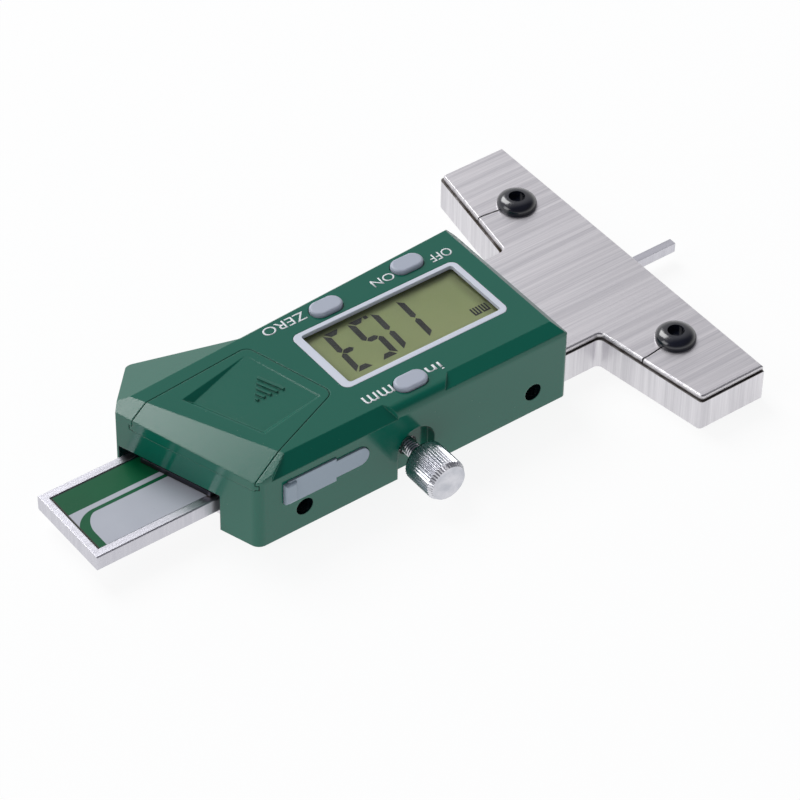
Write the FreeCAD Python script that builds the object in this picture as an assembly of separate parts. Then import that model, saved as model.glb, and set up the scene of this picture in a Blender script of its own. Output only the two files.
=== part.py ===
import FreeCAD, Part
import math
import os

V = FreeCAD.Vector

# Digital depth gauge lying on its back.  +X is the measuring direction, the measuring face is
# the plane x = 0, +Z is the display side and z = 0 is the back of the base.  Millimetres.

# ---- base, cover plate and measuring blade ----
base_half_length = 38.2          # half the T measured along Y
base_depth_end = 14.4            # wing depth at its tip
base_depth_root = 18.25          # wing depth where it meets the stem
base_corner_radius = 0.8
root_fillet = 1.2
plate_thickness = 1.1
plate_inset = 0.35               # step between the plate edge and the base edge
plate_chamfer = 0.25
plate_tongue_y = (-7.4, 6.7)     # tongue of the plate that closes the beam slot
plate_screw_x = -8.0
plate_screw_y = 23.1
plate_screw_radius = 2.0
plate_screw_head_radius = 3.8
plate_screw_head_height = 2.2
plate_screw_socket = 2.5
plate_screw_depth = 5.0
kerf_width = 0.3
kerf_lean = 0.9                  # sideways shift of the kerf on its way to the plate edge
front_wall = 6.0                 # steel left between the beam channel and the measuring face

reading = 11.53                  # how far the blade stands out as built
reading_full = 25.0

beam_centre_y = 0.9
beam_half_width = 9.26
beam_thickness = 3.12
beam_bottom = 3.08
beam_lid_gap = 0.1               # from the beam up to the cover plate's seat
stem_wall = 5.14                 # base stem outside the beam's width
beam_back = -121.5
beam_front = -19.8
beam_edge_break = 0.2
scale_recess_half_width = 7.6
scale_recess_depth = 0.5
scale_rim_back = 1.3
scale_rim_front = 2.4
scale_strip_thickness = 0.36
scale_label_thickness = 0.08
slide_clearance = 0.04
floor_clearance = 0.03

blade_half_width = 0.77
blade_height = 2.0
blade_top = 4.03
blade_back = -46.0
blade_clearance = 0.05
blade_pin_radius = 0.4
blade_pin_x = (-26.0, -42.0)
blade_pin_top = 5.3
blade_relief_half_width = 1.3
blade_relief_floor = 1.6

gib_thickness = 1.15
gib_end_margin = 3.0
side_screw_z = 4.7
gib_screw_x = (-85.1, -35.6)
gib_screw_radius = 1.5
gib_screw_length = 4.2
gib_screw_slot = 0.5
gib_access_radius = 1.75

lock_x = -61.7
lock_shank_radius = 1.5
lock_head_radius = 4.0
lock_head_length = 7.3
lock_head_gap = 2.1              # head stands this far off the housing side
lock_pocket_x = (-65.3, -57.4)
lock_pocket_top = 10.0
lock_pocket_depth = 2.0

# ---- housing envelope ----
housing_front = -28.0
housing_side = 2.9               # housing side outside the stem
housing_height = 16.4
end_at_centre = -100.7           # -X end face where it crosses y = 0
end_slant = 19.0                 # turn of that end face in plan, degrees
end_far_y = 11.2                 # corner between the end face and the wing
wing_tip = (-94.6, 23.1)         # outermost corner of the thumb wing
wing_start_x = -76.9
wing_tip_drop = 3.9
far_edge_inset = 0.9             # far border of the flat top at housing_front, in from the side
far_edge_taper = 0.0558          # its run towards the middle, per mm towards -X
far_bevel_drop = 1.07
shoulder_radius = 2.1
front_bevel = (2.0, 1.9)         # along X, along Z
rear_bevel_origin = (-94.3, -0.73)
rear_bevel_turn = 26.1
rear_bevel_slope = 11.3
# x of the four corners, then how far each flat runs in and down from the edge of the body
near_flat_rear = (-87.4, -92.8, -65.0, -66.9, 2.7, 2.2)
near_flat_front = (-52.7, -55.8, -20.0, -20.0, 3.0, 1.2)
corner_radius = 0.9
far_corner_radius = 2.2
end_corner_radius = 2.0
wing_corner_radius = 1.4
housing_wall = 1.8
end_wall = 3.0
saddle_clearance = 0.1
beam_slot_gaps = (1.24, 0.64, 1.8)  # near side, far side and over the beam
cavity_x = (-71.4, -30.2)
cavity_side_walls = (2.9, 2.7)

# ---- battery compartment ----
cover_turn = 22.6                # slide direction, from -X towards -Y
cover_far_edge = ((-99.4, 9.4), (-77.3, 11.08))
cover_front_near = (-71.9, -6.95)
cover_corner_radius = 1.8
cover_depth = 3.25               # from the flat top to the cover's underside
cover_gap = 0.15
cover_skin = 1.7
cover_wall = 1.4
tongue_reach = 0.6
tongue_lift = 0.25
tongue_thickness = 0.8
thumb_recess = ((-94.0, 6.5), (-78.6, 9.5), (-74.1, -6.5), (-87.4, -8.8))
thumb_recess_depth = 1.0
thumb_recess_run = 14.5
thumb_recess_draft = 1.3         # lean of its walls for each mm of depth
rib_count = 5
rib_first = (-79.15, 1.1)
rib_pitch = 1.1
rib_width = 0.5
rib_height = 0.35
rib_longest = 5.4
rib_shortest = 0.6
battery_centre = (-86.5, -1.5)
battery_radius = 10.0
battery_thickness = 3.2
battery_room = 0.65              # between the cell and the cover
battery_pocket_gap = 0.35
battery_lift = 0.4               # room under the cell for its spring contact
contact_thickness = 0.2

# ---- electronics ----
board_gap = 0.05
board_thickness = 1.0
board_edge_gap = 0.3
sensor_x = (-68.0, -46.0)
sensor_half_width = 6.8
sensor_thickness = 0.9
sensor_window_gap = 0.3
chip_size = 7.0
chip_height = 1.1
chip_x = -46.0
lcd_thickness = 2.0
lcd_sink = 1.5                   # flat top to the display panel
lcd_margin = 0.45
display_x = (-69.65, -33.85)
display_y = (-7.8, 8.8)
display_corner_radius = 1.5
display_gap = 0.05
display_frame_depth = 1.4
window_x = (-68.0, -35.0)
window_y = (-6.7, 7.9)
window_corner_radius = 0.6
lens_thickness = 0.5
lens_sink = 1.25
lens_lap = 0.4
strip_width = 1.5
strip_inset = 1.0

button_places = {"power_button": (-41.4, 12.6), "zero_button": (-59.9, 11.6),
                 "unit_button": (-59.4, -12.7)}
button_length = 6.5
button_width = 3.8
button_rise = 0.8
button_gap = 0.15
button_flange = 0.5
button_flange_thickness = 0.7
button_stem_radius = 1.2
button_edge = 0.5
button_travel = 0.35
dome_radius = 1.5
dome_height = 0.4

# ---- data port ----
port_plate_x = (-88.6, -78.65)
port_plate_z = (7.3, 12.5)
port_strap_end = -71.7
port_strap_z = (8.1, 11.9)
port_cover_rise = 0.3
port_cover_thickness = 1.2
port_tab = (0.9, 2.4, 4.4, 0.6)  # reach beyond the plate, width on it, height, rise
port_cavity_x = (-87.0, -80.2)
port_cavity_z = (8.3, 11.5)
port_cavity_depth = 3.2
port_plug_gap = 0.4
port_plug_length = 1.9
port_contact_count = 4

# ---- housing screws, driven from the back ----
housing_screw_x = ((-41.0, -76.0), (-34.5, -75.0))
housing_screw_inset = (2.51, 2.2)  # out from the beam channel, near and far
housing_screw_radius = 1.0
housing_screw_head_radius = 1.9
housing_screw_head_height = 1.2
housing_screw_length = 11.0
boss_radius = 2.1
sink_depth = 0.2

beam_top = beam_bottom + beam_thickness
base_thickness = beam_top + beam_lid_gap
plate_top = base_thickness + plate_thickness
stem_half_width = beam_half_width + stem_wall
housing_half_width = stem_half_width + housing_side
far_edge_front = housing_half_width - far_edge_inset
wing_tip_height = housing_height - wing_tip_drop
beam_near = beam_centre_y - beam_half_width
beam_far = beam_centre_y + beam_half_width
gib_far = beam_near - slide_clearance
gib_near = gib_far - gib_thickness
channel_near = gib_near - slide_clearance
channel_far = beam_far + slide_clearance
beam_slot_y = (beam_near - beam_slot_gaps[0], beam_far + beam_slot_gaps[1])
beam_slot_top = beam_top + beam_slot_gaps[2]
cavity_y = (cavity_side_walls[0] - housing_half_width, housing_half_width - cavity_side_walls[1])
housing_screw_places = [(x, channel_near - housing_screw_inset[0]) for x in housing_screw_x[0]]
housing_screw_places += [(x, channel_far + housing_screw_inset[1]) for x in housing_screw_x[1]]
board_bottom = plate_top + board_gap
board_top = board_bottom + board_thickness
skin_under = housing_height - housing_wall
lcd_top = housing_height - lcd_sink
display_frame_bottom = housing_height - display_frame_depth
lens_bottom = housing_height - lens_sink
cover_underside = housing_height - cover_depth
tongue_z = (cover_underside + tongue_lift, cover_underside + tongue_lift + tongue_thickness)
battery_bottom = cover_underside - battery_room - battery_thickness
battery_floor = battery_bottom - battery_lift
strap_z = battery_bottom + 0.9   # spring of the side contact
slide_dir = V(-math.cos(math.radians(cover_turn)), -math.sin(math.radians(cover_turn)), 0)
cross_dir = V(-slide_dir.y, slide_dir.x, 0)


def box(x, y, z):
    return Part.makeBox(x[1] - x[0], y[1] - y[0], z[1] - z[0], V(x[0], y[0], z[0]))


def cylinder(radius, start, end):
    axis = V(*end) - V(*start)
    return Part.makeCylinder(radius, axis.Length, V(*start), axis)


def wire(points, z=0.0):
    corners = [V(p[0], p[1], z) for p in points]
    return Part.makePolygon(corners + corners[:1])


def prism(points, z):
    return Part.Face(wire(points, z[0])).extrude(V(0, 0, z[1] - z[0]))


def upright_edges(solid, places, reach=0.3):
    found = []
    for edge in solid.Edges:
        a, b = edge.Vertexes[0].Point, edge.Vertexes[-1].Point
        if abs(a.x - b.x) + abs(a.y - b.y) > 1e-6:
            continue
        if any(math.hypot(a.x - p[0], a.y - p[1]) < reach for p in places):
            found.append(edge)
    return found


def rounded(solid, places, radius):
    return solid.makeFillet(radius, upright_edges(solid, places))


def rounded_block(x, y, z, radius):
    corners = [(x[0], y[0]), (x[1], y[0]), (x[1], y[1]), (x[0], y[1])]
    return rounded(prism(corners, z), corners, radius)


def above_plane(origin, normal, reach=260.0, depth=60.0):
    # everything on the outer side of a plane, to be cut away
    n = V(*normal)
    n.normalize()
    square = Part.makePlane(reach, reach, V(-reach / 2, -reach / 2, 0))
    square.Placement = FreeCAD.Placement(V(*origin), FreeCAD.Rotation(V(0, 0, 1), n))
    return square.extrude(n * depth)


def hex_prism(centre, across_flats, z):
    r = across_flats / math.sqrt(3)
    return prism([(centre[0] + r * math.cos(math.radians(60 * k)),
                   centre[1] + r * math.sin(math.radians(60 * k))) for k in range(6)], z)


def end_x(y):
    return end_at_centre - math.tan(math.radians(end_slant)) * y


def far_edge(x):
    return far_edge_front + far_edge_taper * (x - housing_front)


def body_outline():
    tip_run = (wing_tip[0] - end_x(end_far_y)) / (wing_tip[1] - end_far_y)
    return [(housing_front, -housing_half_width), (end_x(-housing_half_width), -housing_half_width),
            (end_x(end_far_y), end_far_y),
            (end_x(end_far_y) + tip_run * (housing_half_width - end_far_y), housing_half_width),
            (housing_front, housing_half_width)]


def build_envelope():
    outline = body_outline()
    body = prism(outline, (0, housing_height))
    body = rounded(body, [outline[0]], corner_radius)
    body = rounded(body, [outline[4]], far_corner_radius)
    body = rounded(body, [outline[1]], end_corner_radius)
    # the near top shoulder is a quarter round, run along X
    near, top, r = -housing_half_width, housing_height, shoulder_radius
    bend = Part.Arc(V(0, near, top - r), V(0, near + r * (1 - math.sqrt(0.5)),
                    top - r * (1 - math.sqrt(0.5))), V(0, near + r, top)).toShape()
    sides = Part.makePolygon([V(0, near + r, top), V(0, -near + 1, top), V(0, -near + 1, -1),
                              V(0, near, -1), V(0, near, top - r)])
    section = Part.Face(Part.Wire([bend] + sides.Edges))
    section.translate(V(-130, 0, 0))
    body = body.common(section.extrude(V(130, 0, 0)))
    # far bevel, growing towards -X
    slope = (-far_edge_taper * far_bevel_drop, far_bevel_drop, 1)
    body = body.cut(above_plane((housing_front, far_edge_front, top), slope))
    # thumb wing flaring out of the far side
    start = (wing_start_x, far_edge(wing_start_x))
    wing = prism([start, wing_tip, (end_x(end_far_y), end_far_y), (-92.0, 0.0)], (0, top))
    wing = rounded(wing, [wing_tip], wing_corner_radius)
    a = V(start[0], start[1], top)
    along = V(-1, -far_edge_taper, 0)
    facet = along.cross(V(wing_tip[0], wing_tip[1], wing_tip_height) - a)
    wing = wing.cut(above_plane(tuple(a), tuple(facet if facet.z > 0 else facet * -1)))
    body = body.fuse(wing).removeSplitter()
    # the two flats on the near shoulder
    for top_back, low_back, low_front, top_front, inset, fall in (near_flat_rear, near_flat_front):
        edge = near + inset
        patch = prism([(top_back, edge), (low_back, near - 0.5), (low_front, near - 0.5),
                       (top_front, edge)], (top - fall - 1, top + 1))
        body = body.cut(patch.common(above_plane((0, edge, top), (0, -fall / inset, 1))))
    # front bevel and the long rear bevel
    body = body.cut(above_plane((housing_front, 0, top - front_bevel[1]),
                                (front_bevel[1], 0, front_bevel[0])))
    turn, fall = math.radians(rear_bevel_turn), math.tan(math.radians(rear_bevel_slope))
    body = body.cut(above_plane(rear_bevel_origin + (top,),
                                (-math.cos(turn) * fall, -math.sin(turn) * fall, 1)))
    return body


def cover_outline():
    far_back, far_front = cover_far_edge
    out = slide_dir * 30.0
    return [(far_back[0] + out.x, far_back[1] + out.y), far_back, far_front, cover_front_near,
            (cover_front_near[0] + out.x * 1.2, cover_front_near[1] + out.y * 1.2)]


def cover_block(grow, z):
    outline = cover_outline()
    block = prism(outline, z)
    block = rounded(block, [outline[2], outline[3]], cover_corner_radius)
    if not grow:
        return block
    face = [f for f in block.Faces if f.normalAt(0, 0).z < -0.9][0]
    return face.makeOffset2D(grow, 0).extrude(V(0, 0, z[1] - z[0]))


def tongue(reach, z):
    # rails along the two edges that run in the slide direction
    rails = []
    for start, side in ((cover_front_near, 1), (cover_far_edge[0], -1)):
        a = V(start[0], start[1], 0) + slide_dir * 2.0
        run = slide_dir * 40.0
        inward, outward = cross_dir * (-side * 1.0), cross_dir * (side * reach)
        rails.append(prism([tuple(a + inward)[:2], tuple(a + inward + run)[:2],
                            tuple(a + outward + run)[:2], tuple(a + outward)[:2]], z))
    return rails[0].fuse(rails[1])


def build_cover(envelope):
    shell = cover_block(0, (cover_underside, housing_height + 1))
    hollow = cover_block(-cover_wall, (cover_underside - 1, housing_height - cover_skin))
    mouth = above_plane((end_at_centre + cover_wall * 2.2, 0, 0),
                        (-math.cos(math.radians(end_slant)), -math.sin(math.radians(end_slant)), 0))
    shell = shell.cut(hollow.cut(mouth)).fuse(tongue(tongue_reach, tongue_z)).common(envelope)
    mouth_face = Part.Face(wire(thumb_recess, housing_height))
    lean = thumb_recess_draft * 2 * thumb_recess_depth
    root = mouth_face.makeOffset2D(-lean, 2)
    root.translate(V(0, 0, -2 * thumb_recess_depth))
    recess = Part.makeLoft([mouth_face.OuterWire, root.OuterWire], True, True)
    front = V(thumb_recess[1][0], thumb_recess[1][1], housing_height)
    fall = thumb_recess_depth / thumb_recess_run
    recess = recess.common(above_plane(tuple(front), (-slide_dir.x * -fall, -slide_dir.y * -fall, 1)))
    shell = shell.cut(recess)
    for k in range(rib_count):
        centre = V(rib_first[0], rib_first[1], 0) + slide_dir * (rib_pitch * k)
        half = cross_dir * ((rib_longest + (rib_shortest - rib_longest) * k / (rib_count - 1)) / 2)
        wide = slide_dir * (rib_width / 2)
        depth = fall * (centre - V(front.x, front.y, 0)).dot(slide_dir)
        corners = [centre - half - wide, centre + half - wide, centre + half + wide, centre - half + wide]
        base = housing_height - depth
        shell = shell.fuse(prism([(c.x, c.y) for c in corners], (base - 0.3, base + rib_height)))
    return shell.removeSplitter()


def boss_columns():
    columns = [cylinder(boss_radius, (x, y, plate_top + board_gap), (x, y, housing_height - 1))
               for x, y in housing_screw_places]
    return columns


def screw_holes(solid, radius, z):
    for x, y in housing_screw_places:
        solid = solid.cut(cylinder(radius, (x, y, z[0]), (x, y, z[1])))
    return solid


def build_housing(envelope):
    body = envelope
    half = stem_half_width + saddle_clearance
    saddle = box((-130, housing_front + 5), (-half, half), (-1, plate_top + board_gap))
    body = body.cut(saddle.common(stem_limit(0)))
    body = body.cut(box((-115, -88), beam_slot_y, (-1, beam_slot_top)))
    cavity = box(cavity_x, cavity_y, (plate_top, skin_under))
    for column in boss_columns():
        cavity = cavity.cut(column)
    body = body.cut(cavity)
    body = body.cut(cover_block(cover_gap, (cover_underside - 0.05, housing_height + 1)))
    body = body.cut(tongue(tongue_reach + cover_gap, (tongue_z[0] - 0.15, tongue_z[1] + 0.15)))
    bx, by = battery_centre
    body = body.cut(cylinder(battery_radius + battery_pocket_gap, (bx, by, battery_floor),
                             (bx, by, cover_underside)))
    # slots that let the two battery contacts through to the board
    body = body.cut(box((bx, cavity_x[0] + 1), (by - 4.5, by - 1.5), (battery_floor, battery_floor + 0.5)))
    body = body.cut(box((bx + battery_radius, bx + battery_radius + 1.3), (by - 0.5, by + 5.5),
                        (battery_floor, cover_underside)))
    body = body.cut(box((bx + battery_radius, cavity_x[0] + 1), (by + 1.5, by + 3.5),
                        (strap_z - 0.2, strap_z + 0.4)))
    # display opening and buttons
    body = body.cut(rounded_block((display_x[0] - display_gap, display_x[1] + display_gap),
                                  (display_y[0] - display_gap, display_y[1] + display_gap),
                                  (skin_under - 1, housing_height + 1), display_corner_radius))
    for place in button_places.values():
        body = body.cut(capsule(place, button_length + 2 * button_gap, button_width + 2 * button_gap,
                                (skin_under - 1, housing_height + 1)))
        body = body.cut(capsule(place, button_length + 2 * button_flange + 2 * button_gap,
                                button_width + 2 * button_flange + 2 * button_gap,
                                (skin_under - 2.4, skin_under)))
    # near side: gib screw access, lock screw pocket, data port
    side = -housing_half_width
    for x in gib_screw_x:
        body = body.cut(cylinder(gib_access_radius, (x, side - 1, side_screw_z), (x, -13, side_screw_z)))
    arch = (lock_pocket_x[1] - lock_pocket_x[0]) / 2
    middle = sum(lock_pocket_x) / 2
    body = body.cut(box(lock_pocket_x, (side - 1, side + lock_pocket_depth),
                        (-1, lock_pocket_top - arch)))
    body = body.cut(cylinder(arch, (middle, side - 1, lock_pocket_top - arch),
                             (middle, side + lock_pocket_depth, lock_pocket_top - arch)))
    body = body.cut(cylinder(lock_shank_radius + 0.4, (lock_x, side - 1, side_screw_z),
                             (lock_x, -13, side_screw_z)))
    body = body.cut(port_cover_plate(0.12, port_cover_thickness - port_cover_rise + 0.05, 1.0))
    body = body.cut(box(port_cavity_x, (side, side + port_cavity_depth + 1.0), port_cavity_z))
    return screw_holes(body, housing_screw_radius - 0.05, (0, plate_top + 4.2))


def capsule(place, length, width, z):
    x, y = place
    half = (length - width) / 2
    middle = box((x - half, x + half), (y - width / 2, y + width / 2), z)
    ends = [cylinder(width / 2, (x + s * half, y, z[0]), (x + s * half, y, z[1])) for s in (-1, 1)]
    return middle.fuse(ends).removeSplitter()


def build_button(place):
    top = housing_height + button_rise
    cap = capsule(place, button_length, button_width, (skin_under - button_travel, top))
    rim = [e for e in cap.Edges if abs(e.BoundBox.ZMin - top) < 1e-6 and e.BoundBox.ZLength < 1e-6]
    cap = cap.makeFillet(button_edge, rim)
    flange_top = skin_under - 0.1
    flange = capsule(place, button_length + 2 * button_flange, button_width + 2 * button_flange,
                     (flange_top - button_flange_thickness, flange_top))
    stem_bottom = board_top + dome_height + button_travel + 0.1
    stem = cylinder(button_stem_radius, place + (stem_bottom,), place + (flange_top,))
    return cap.fuse([flange, stem]).removeSplitter()


def port_cover_plate(grow, depth, rise):
    side = -housing_half_width
    y = (side - rise, side + depth)
    plate = box((port_plate_x[0] - grow, port_plate_x[1] + grow), y,
                (port_plate_z[0] - grow, port_plate_z[1] + grow))
    half = (port_strap_z[1] - port_strap_z[0]) / 2
    centre = sum(port_strap_z) / 2
    strap = box((port_plate_x[1] - 1, port_strap_end - half), y,
                (port_strap_z[0] - grow, port_strap_z[1] + grow))
    end = cylinder(half + grow, (port_strap_end - half, y[0], centre),
                   (port_strap_end - half, y[1], centre))
    tab = box((port_plate_x[0] - port_tab[0] - grow, port_plate_x[0] + 1), y,
              (centre - port_tab[2] / 2 - grow, centre + port_tab[2] / 2 + grow))
    return plate.fuse([strap, end, tab]).removeSplitter()


def build_port_cover():
    side = -housing_half_width
    cover = port_cover_plate(0, port_cover_thickness - port_cover_rise, port_cover_rise)
    centre = sum(port_strap_z) / 2
    lip = box((port_plate_x[0] - port_tab[0], port_plate_x[0] - port_tab[0] + port_tab[1]),
              (side - port_cover_rise - port_tab[3], side),
              (centre - port_tab[2] / 2, centre + port_tab[2] / 2))
    lip = lip.makeFillet(0.5, [e for e in lip.Edges if e.BoundBox.YMax < side - port_cover_rise - 0.1])
    inner = side + port_cover_thickness - port_cover_rise
    plug = box((port_cavity_x[0] + port_plug_gap, port_cavity_x[1] - port_plug_gap),
               (inner - 0.2, inner + port_plug_length),
               (port_cavity_z[0] + port_plug_gap, port_cavity_z[1] - port_plug_gap))
    return cover.fuse([lip, plug]).removeSplitter()


def tee_outline(inset):
    half, depth_end, depth_root = base_half_length - inset, base_depth_end - inset, base_depth_root
    slope = (base_depth_root - base_depth_end) / (base_half_length - stem_half_width)
    root = depth_root - inset * math.sqrt(1 + slope * slope)
    stem = stem_half_width - inset
    return [(0, -half), (0, half), (-depth_end, half), (-root, stem), (-130, stem),
            (-130, -stem), (-root, -stem), (-depth_end, -half)]


def tee(inset, z):
    outline = tee_outline(inset)
    body = rounded(prism(outline, z), [outline[3], outline[6]], root_fillet)
    return rounded(body, [outline[2], outline[7]], base_corner_radius)


def stem_limit(gap):
    # room for the stem inside the -X end: the end face and the wing face, set in by the end wall
    outline = body_outline()
    far = 2 * housing_half_width
    tip_run = (outline[3][0] - outline[2][0]) / (outline[3][1] - outline[2][1])
    ends = [(20.0, -far), (end_x(-far), -far), outline[2],
            (outline[2][0] + tip_run * (far - end_far_y), far), (20.0, far)]
    inner = Part.Face(wire(ends, -1)).makeOffset2D(-end_wall - gap, 2)
    wide = inner.extrude(V(0, 0, 60))
    return wide.fuse(box((housing_front, 10), (-60, 60), (-1, 59))).removeSplitter()


def build_base_frame():
    body = tee(0, (0, base_thickness)).common(stem_limit(saddle_clearance))
    floor = beam_bottom - floor_clearance
    body = body.cut(box((-130, -front_wall), (channel_near, channel_far), (floor, base_thickness + 1)))
    relief = (beam_centre_y - blade_relief_half_width, beam_centre_y + blade_relief_half_width)
    relief_back = blade_back - reading - 5.0
    body = body.cut(box((relief_back, -front_wall), relief, (blade_relief_floor, floor + 1)))
    body = body.cut(box((-front_wall - 1, 1), (beam_centre_y - blade_half_width - blade_clearance,
                                               beam_centre_y + blade_half_width + blade_clearance),
                        (blade_top - blade_height - blade_clearance, blade_top + blade_clearance)))
    for s in (-1, 1):
        place = (plate_screw_x, s * plate_screw_y)
        body = body.cut(cylinder(plate_screw_radius + 0.02,
                                 place + (base_thickness - plate_screw_depth,), place + (10,)))
    for x in gib_screw_x:
        body = body.cut(cylinder(gib_screw_radius + 0.02, (x, -20, side_screw_z),
                                 (x, channel_near + 1, side_screw_z)))
    body = body.cut(cylinder(lock_shank_radius + 0.02, (lock_x, -20, side_screw_z),
                             (lock_x, channel_near + 1, side_screw_z)))
    body = screw_holes(body, housing_screw_radius + 0.2, (-1, 10))
    return screw_holes(body, housing_screw_head_radius + 0.15,
                       (-1, sink_depth + housing_screw_head_height + 0.05))


def build_cover_plate():
    plate = tee(plate_inset, (base_thickness + 0.02, plate_top)).common(stem_limit(saddle_clearance))
    rim = [e for e in plate.Edges if abs(e.BoundBox.ZMin - plate_top) < 1e-6 and
           e.BoundBox.ZLength < 1e-6 and e.BoundBox.XMax > housing_front + 1]
    plate = plate.makeChamfer(plate_chamfer, rim)
    end = [(end_x(y) + 0.3, y) for y in plate_tongue_y]
    tongue_piece = prism([end[0], (-90, plate_tongue_y[0]), (-90, plate_tongue_y[1]), end[1]],
                         (base_thickness + 0.02, plate_top))
    plate = plate.fuse(tongue_piece).removeSplitter()
    window = (beam_centre_y - sensor_half_width - sensor_window_gap,
              beam_centre_y + sensor_half_width + sensor_window_gap)
    plate = plate.cut(box((sensor_x[0] - sensor_window_gap, sensor_x[1] + sensor_window_gap), window,
                          (base_thickness - 1, plate_top + 1)))
    for s in (-1, 1):
        y = s * plate_screw_y
        plate = plate.cut(cylinder(plate_screw_radius + 0.2, (plate_screw_x, y, 0), (plate_screw_x, y, 20)))
        bend_x = -base_depth_end - 0.6
        half = kerf_width / 2
        kerf = prism([(plate_screw_x, y - half), (plate_screw_x, y + half),
                      (bend_x, y + s * kerf_lean + half), (-30, y + s * kerf_lean + half),
                      (-30, y + s * kerf_lean - half), (bend_x, y + s * kerf_lean - half)], (0, 20))
        plate = plate.cut(kerf)
    return screw_holes(plate, housing_screw_radius + 0.2, (0, 20))


def build_plate_screws():
    solids = []
    for s in (-1, 1):
        place = (plate_screw_x, s * plate_screw_y)
        base = plate_top + 0.02
        r, h = plate_screw_head_radius, plate_screw_head_height
        dome = (r * r + h * h) / (2 * h) + 0.6
        lift = math.sqrt(dome * dome - r * r)
        head = cylinder(r, place + (base,), place + (base + h,))
        ball = Part.makeSphere(dome, V(place[0], place[1], base + 0.25 - lift))
        head = head.common(ball)
        shank = cylinder(plate_screw_radius, place + (base_thickness - plate_screw_depth + 0.2,),
                         place + (base + 0.5,))
        screw = head.fuse(shank)
        screw = screw.cut(hex_prism(place, plate_screw_socket, (base + 0.7, base + h + 1)))
        solids.append(screw.removeSplitter())
    return solids


def build_beam():
    beam = box((beam_back, beam_front), (beam_near, beam_far), (beam_bottom, beam_top))
    beam = beam.makeChamfer(beam_edge_break, [e for e in beam.Edges if e.BoundBox.XLength > 50])
    recess = (beam_centre_y - scale_recess_half_width, beam_centre_y + scale_recess_half_width)
    beam = beam.cut(box((beam_back + scale_rim_back, beam_front - scale_rim_front), recess,
                        (beam_top - scale_recess_depth, beam_top + 1)))
    beam = beam.cut(box((blade_back - 0.05, beam_front + 1), (beam_centre_y - blade_half_width - 0.02,
                        beam_centre_y + blade_half_width + 0.02), (beam_bottom - 1, blade_top + 0.02)))
    for x in blade_pin_x:
        beam = beam.cut(cylinder(blade_pin_radius + 0.01, (x, beam_centre_y, beam_bottom),
                                 (x, beam_centre_y, blade_pin_top + 0.05)))
    return beam


def scale_layer(margin, z):
    half = scale_recess_half_width - margin
    return box((beam_back + scale_rim_back + margin, beam_front - scale_rim_front - margin),
               (beam_centre_y - half, beam_centre_y + half), z)


def build_blade():
    blade = box((blade_back, reading), (beam_centre_y - blade_half_width, beam_centre_y + blade_half_width),
                (blade_top - blade_height, blade_top))
    for x in blade_pin_x:
        blade = blade.cut(cylinder(blade_pin_radius + 0.01, (x, beam_centre_y, 0), (x, beam_centre_y, 9)))
    return blade


def build_blade_pins():
    return [cylinder(blade_pin_radius, (x, beam_centre_y, blade_top - blade_height + 0.1),
                     (x, beam_centre_y, blade_pin_top)) for x in blade_pin_x]


def build_gib():
    back = end_x(channel_near) + end_wall + gib_end_margin
    return box((back, housing_front - gib_end_margin), (gib_near, gib_far),
               (beam_bottom - 0.01, base_thickness - 0.05))


def build_gib_screws():
    solids = []
    for x in gib_screw_x:
        tip = gib_near - 0.03
        screw = cylinder(gib_screw_radius, (x, tip - gib_screw_length, side_screw_z), (x, tip, side_screw_z))
        outer = tip - gib_screw_length
        screw = screw.cut(box((x - 2, x + 2), (outer - 1, outer + 0.8),
                              (side_screw_z - gib_screw_slot / 2, side_screw_z + gib_screw_slot / 2)))
        solids.append(screw)
    return solids


def build_lock_screw():
    back = -housing_half_width - lock_head_gap
    face = back - lock_head_length
    head = cylinder(lock_head_radius, (lock_x, face, side_screw_z), (lock_x, back, side_screw_z))
    head = head.makeChamfer(0.4, [e for e in head.Edges if e.Length > 10])
    shank = cylinder(lock_shank_radius, (lock_x, back - 0.5, side_screw_z),
                     (lock_x, gib_near - 0.05, side_screw_z))
    dimple = Part.makeCone(0.9, 0, 0.6, V(lock_x, face, side_screw_z), V(0, 1, 0))
    return head.fuse(shank).cut(dimple).removeSplitter()


def build_board():
    x = (cavity_x[0] + board_edge_gap, cavity_x[1] - board_edge_gap)
    y = (cavity_y[0] + board_edge_gap, cavity_y[1] - board_edge_gap)
    board = box(x, y, (board_bottom, board_top))
    for column in boss_columns():
        middle = column.CenterOfMass
        board = board.cut(cylinder(boss_radius + 0.4, (middle.x, middle.y, 0), (middle.x, middle.y, 20)))
    return board


def build_display_frame():
    frame = rounded_block(display_x, display_y, (display_frame_bottom, housing_height + 0.02),
                          display_corner_radius)
    frame = frame.cut(rounded_block(window_x, window_y, (0, 30), window_corner_radius))
    return frame.cut(rounded_block((window_x[0] - lens_lap, window_x[1] + lens_lap),
                                   (window_y[0] - lens_lap, window_y[1] + lens_lap),
                                   (0, lens_bottom + lens_thickness), window_corner_radius))


def build_lens():
    lap = lens_lap - 0.05
    return rounded_block((window_x[0] - lap, window_x[1] + lap), (window_y[0] - lap, window_y[1] + lap),
                         (lens_bottom, lens_bottom + lens_thickness - 0.03), window_corner_radius)


def lcd_span():
    return ((display_x[0] + lcd_margin, display_x[1] - lcd_margin),
            (display_y[0] + lcd_margin, display_y[1] - lcd_margin))


def build_lcd():
    x, y = lcd_span()
    return box(x, y, (lcd_top - lcd_thickness, lcd_top))


def build_strips():
    x, y = lcd_span()
    z = (board_top + 0.02, lcd_top - lcd_thickness - 0.02)
    span = (x[0] + 3.0, x[1] - 3.0)
    return [box(span, (y[0] + strip_inset, y[0] + strip_inset + strip_width), z),
            box(span, (y[1] - strip_inset - strip_width, y[1] - strip_inset), z)]


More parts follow.
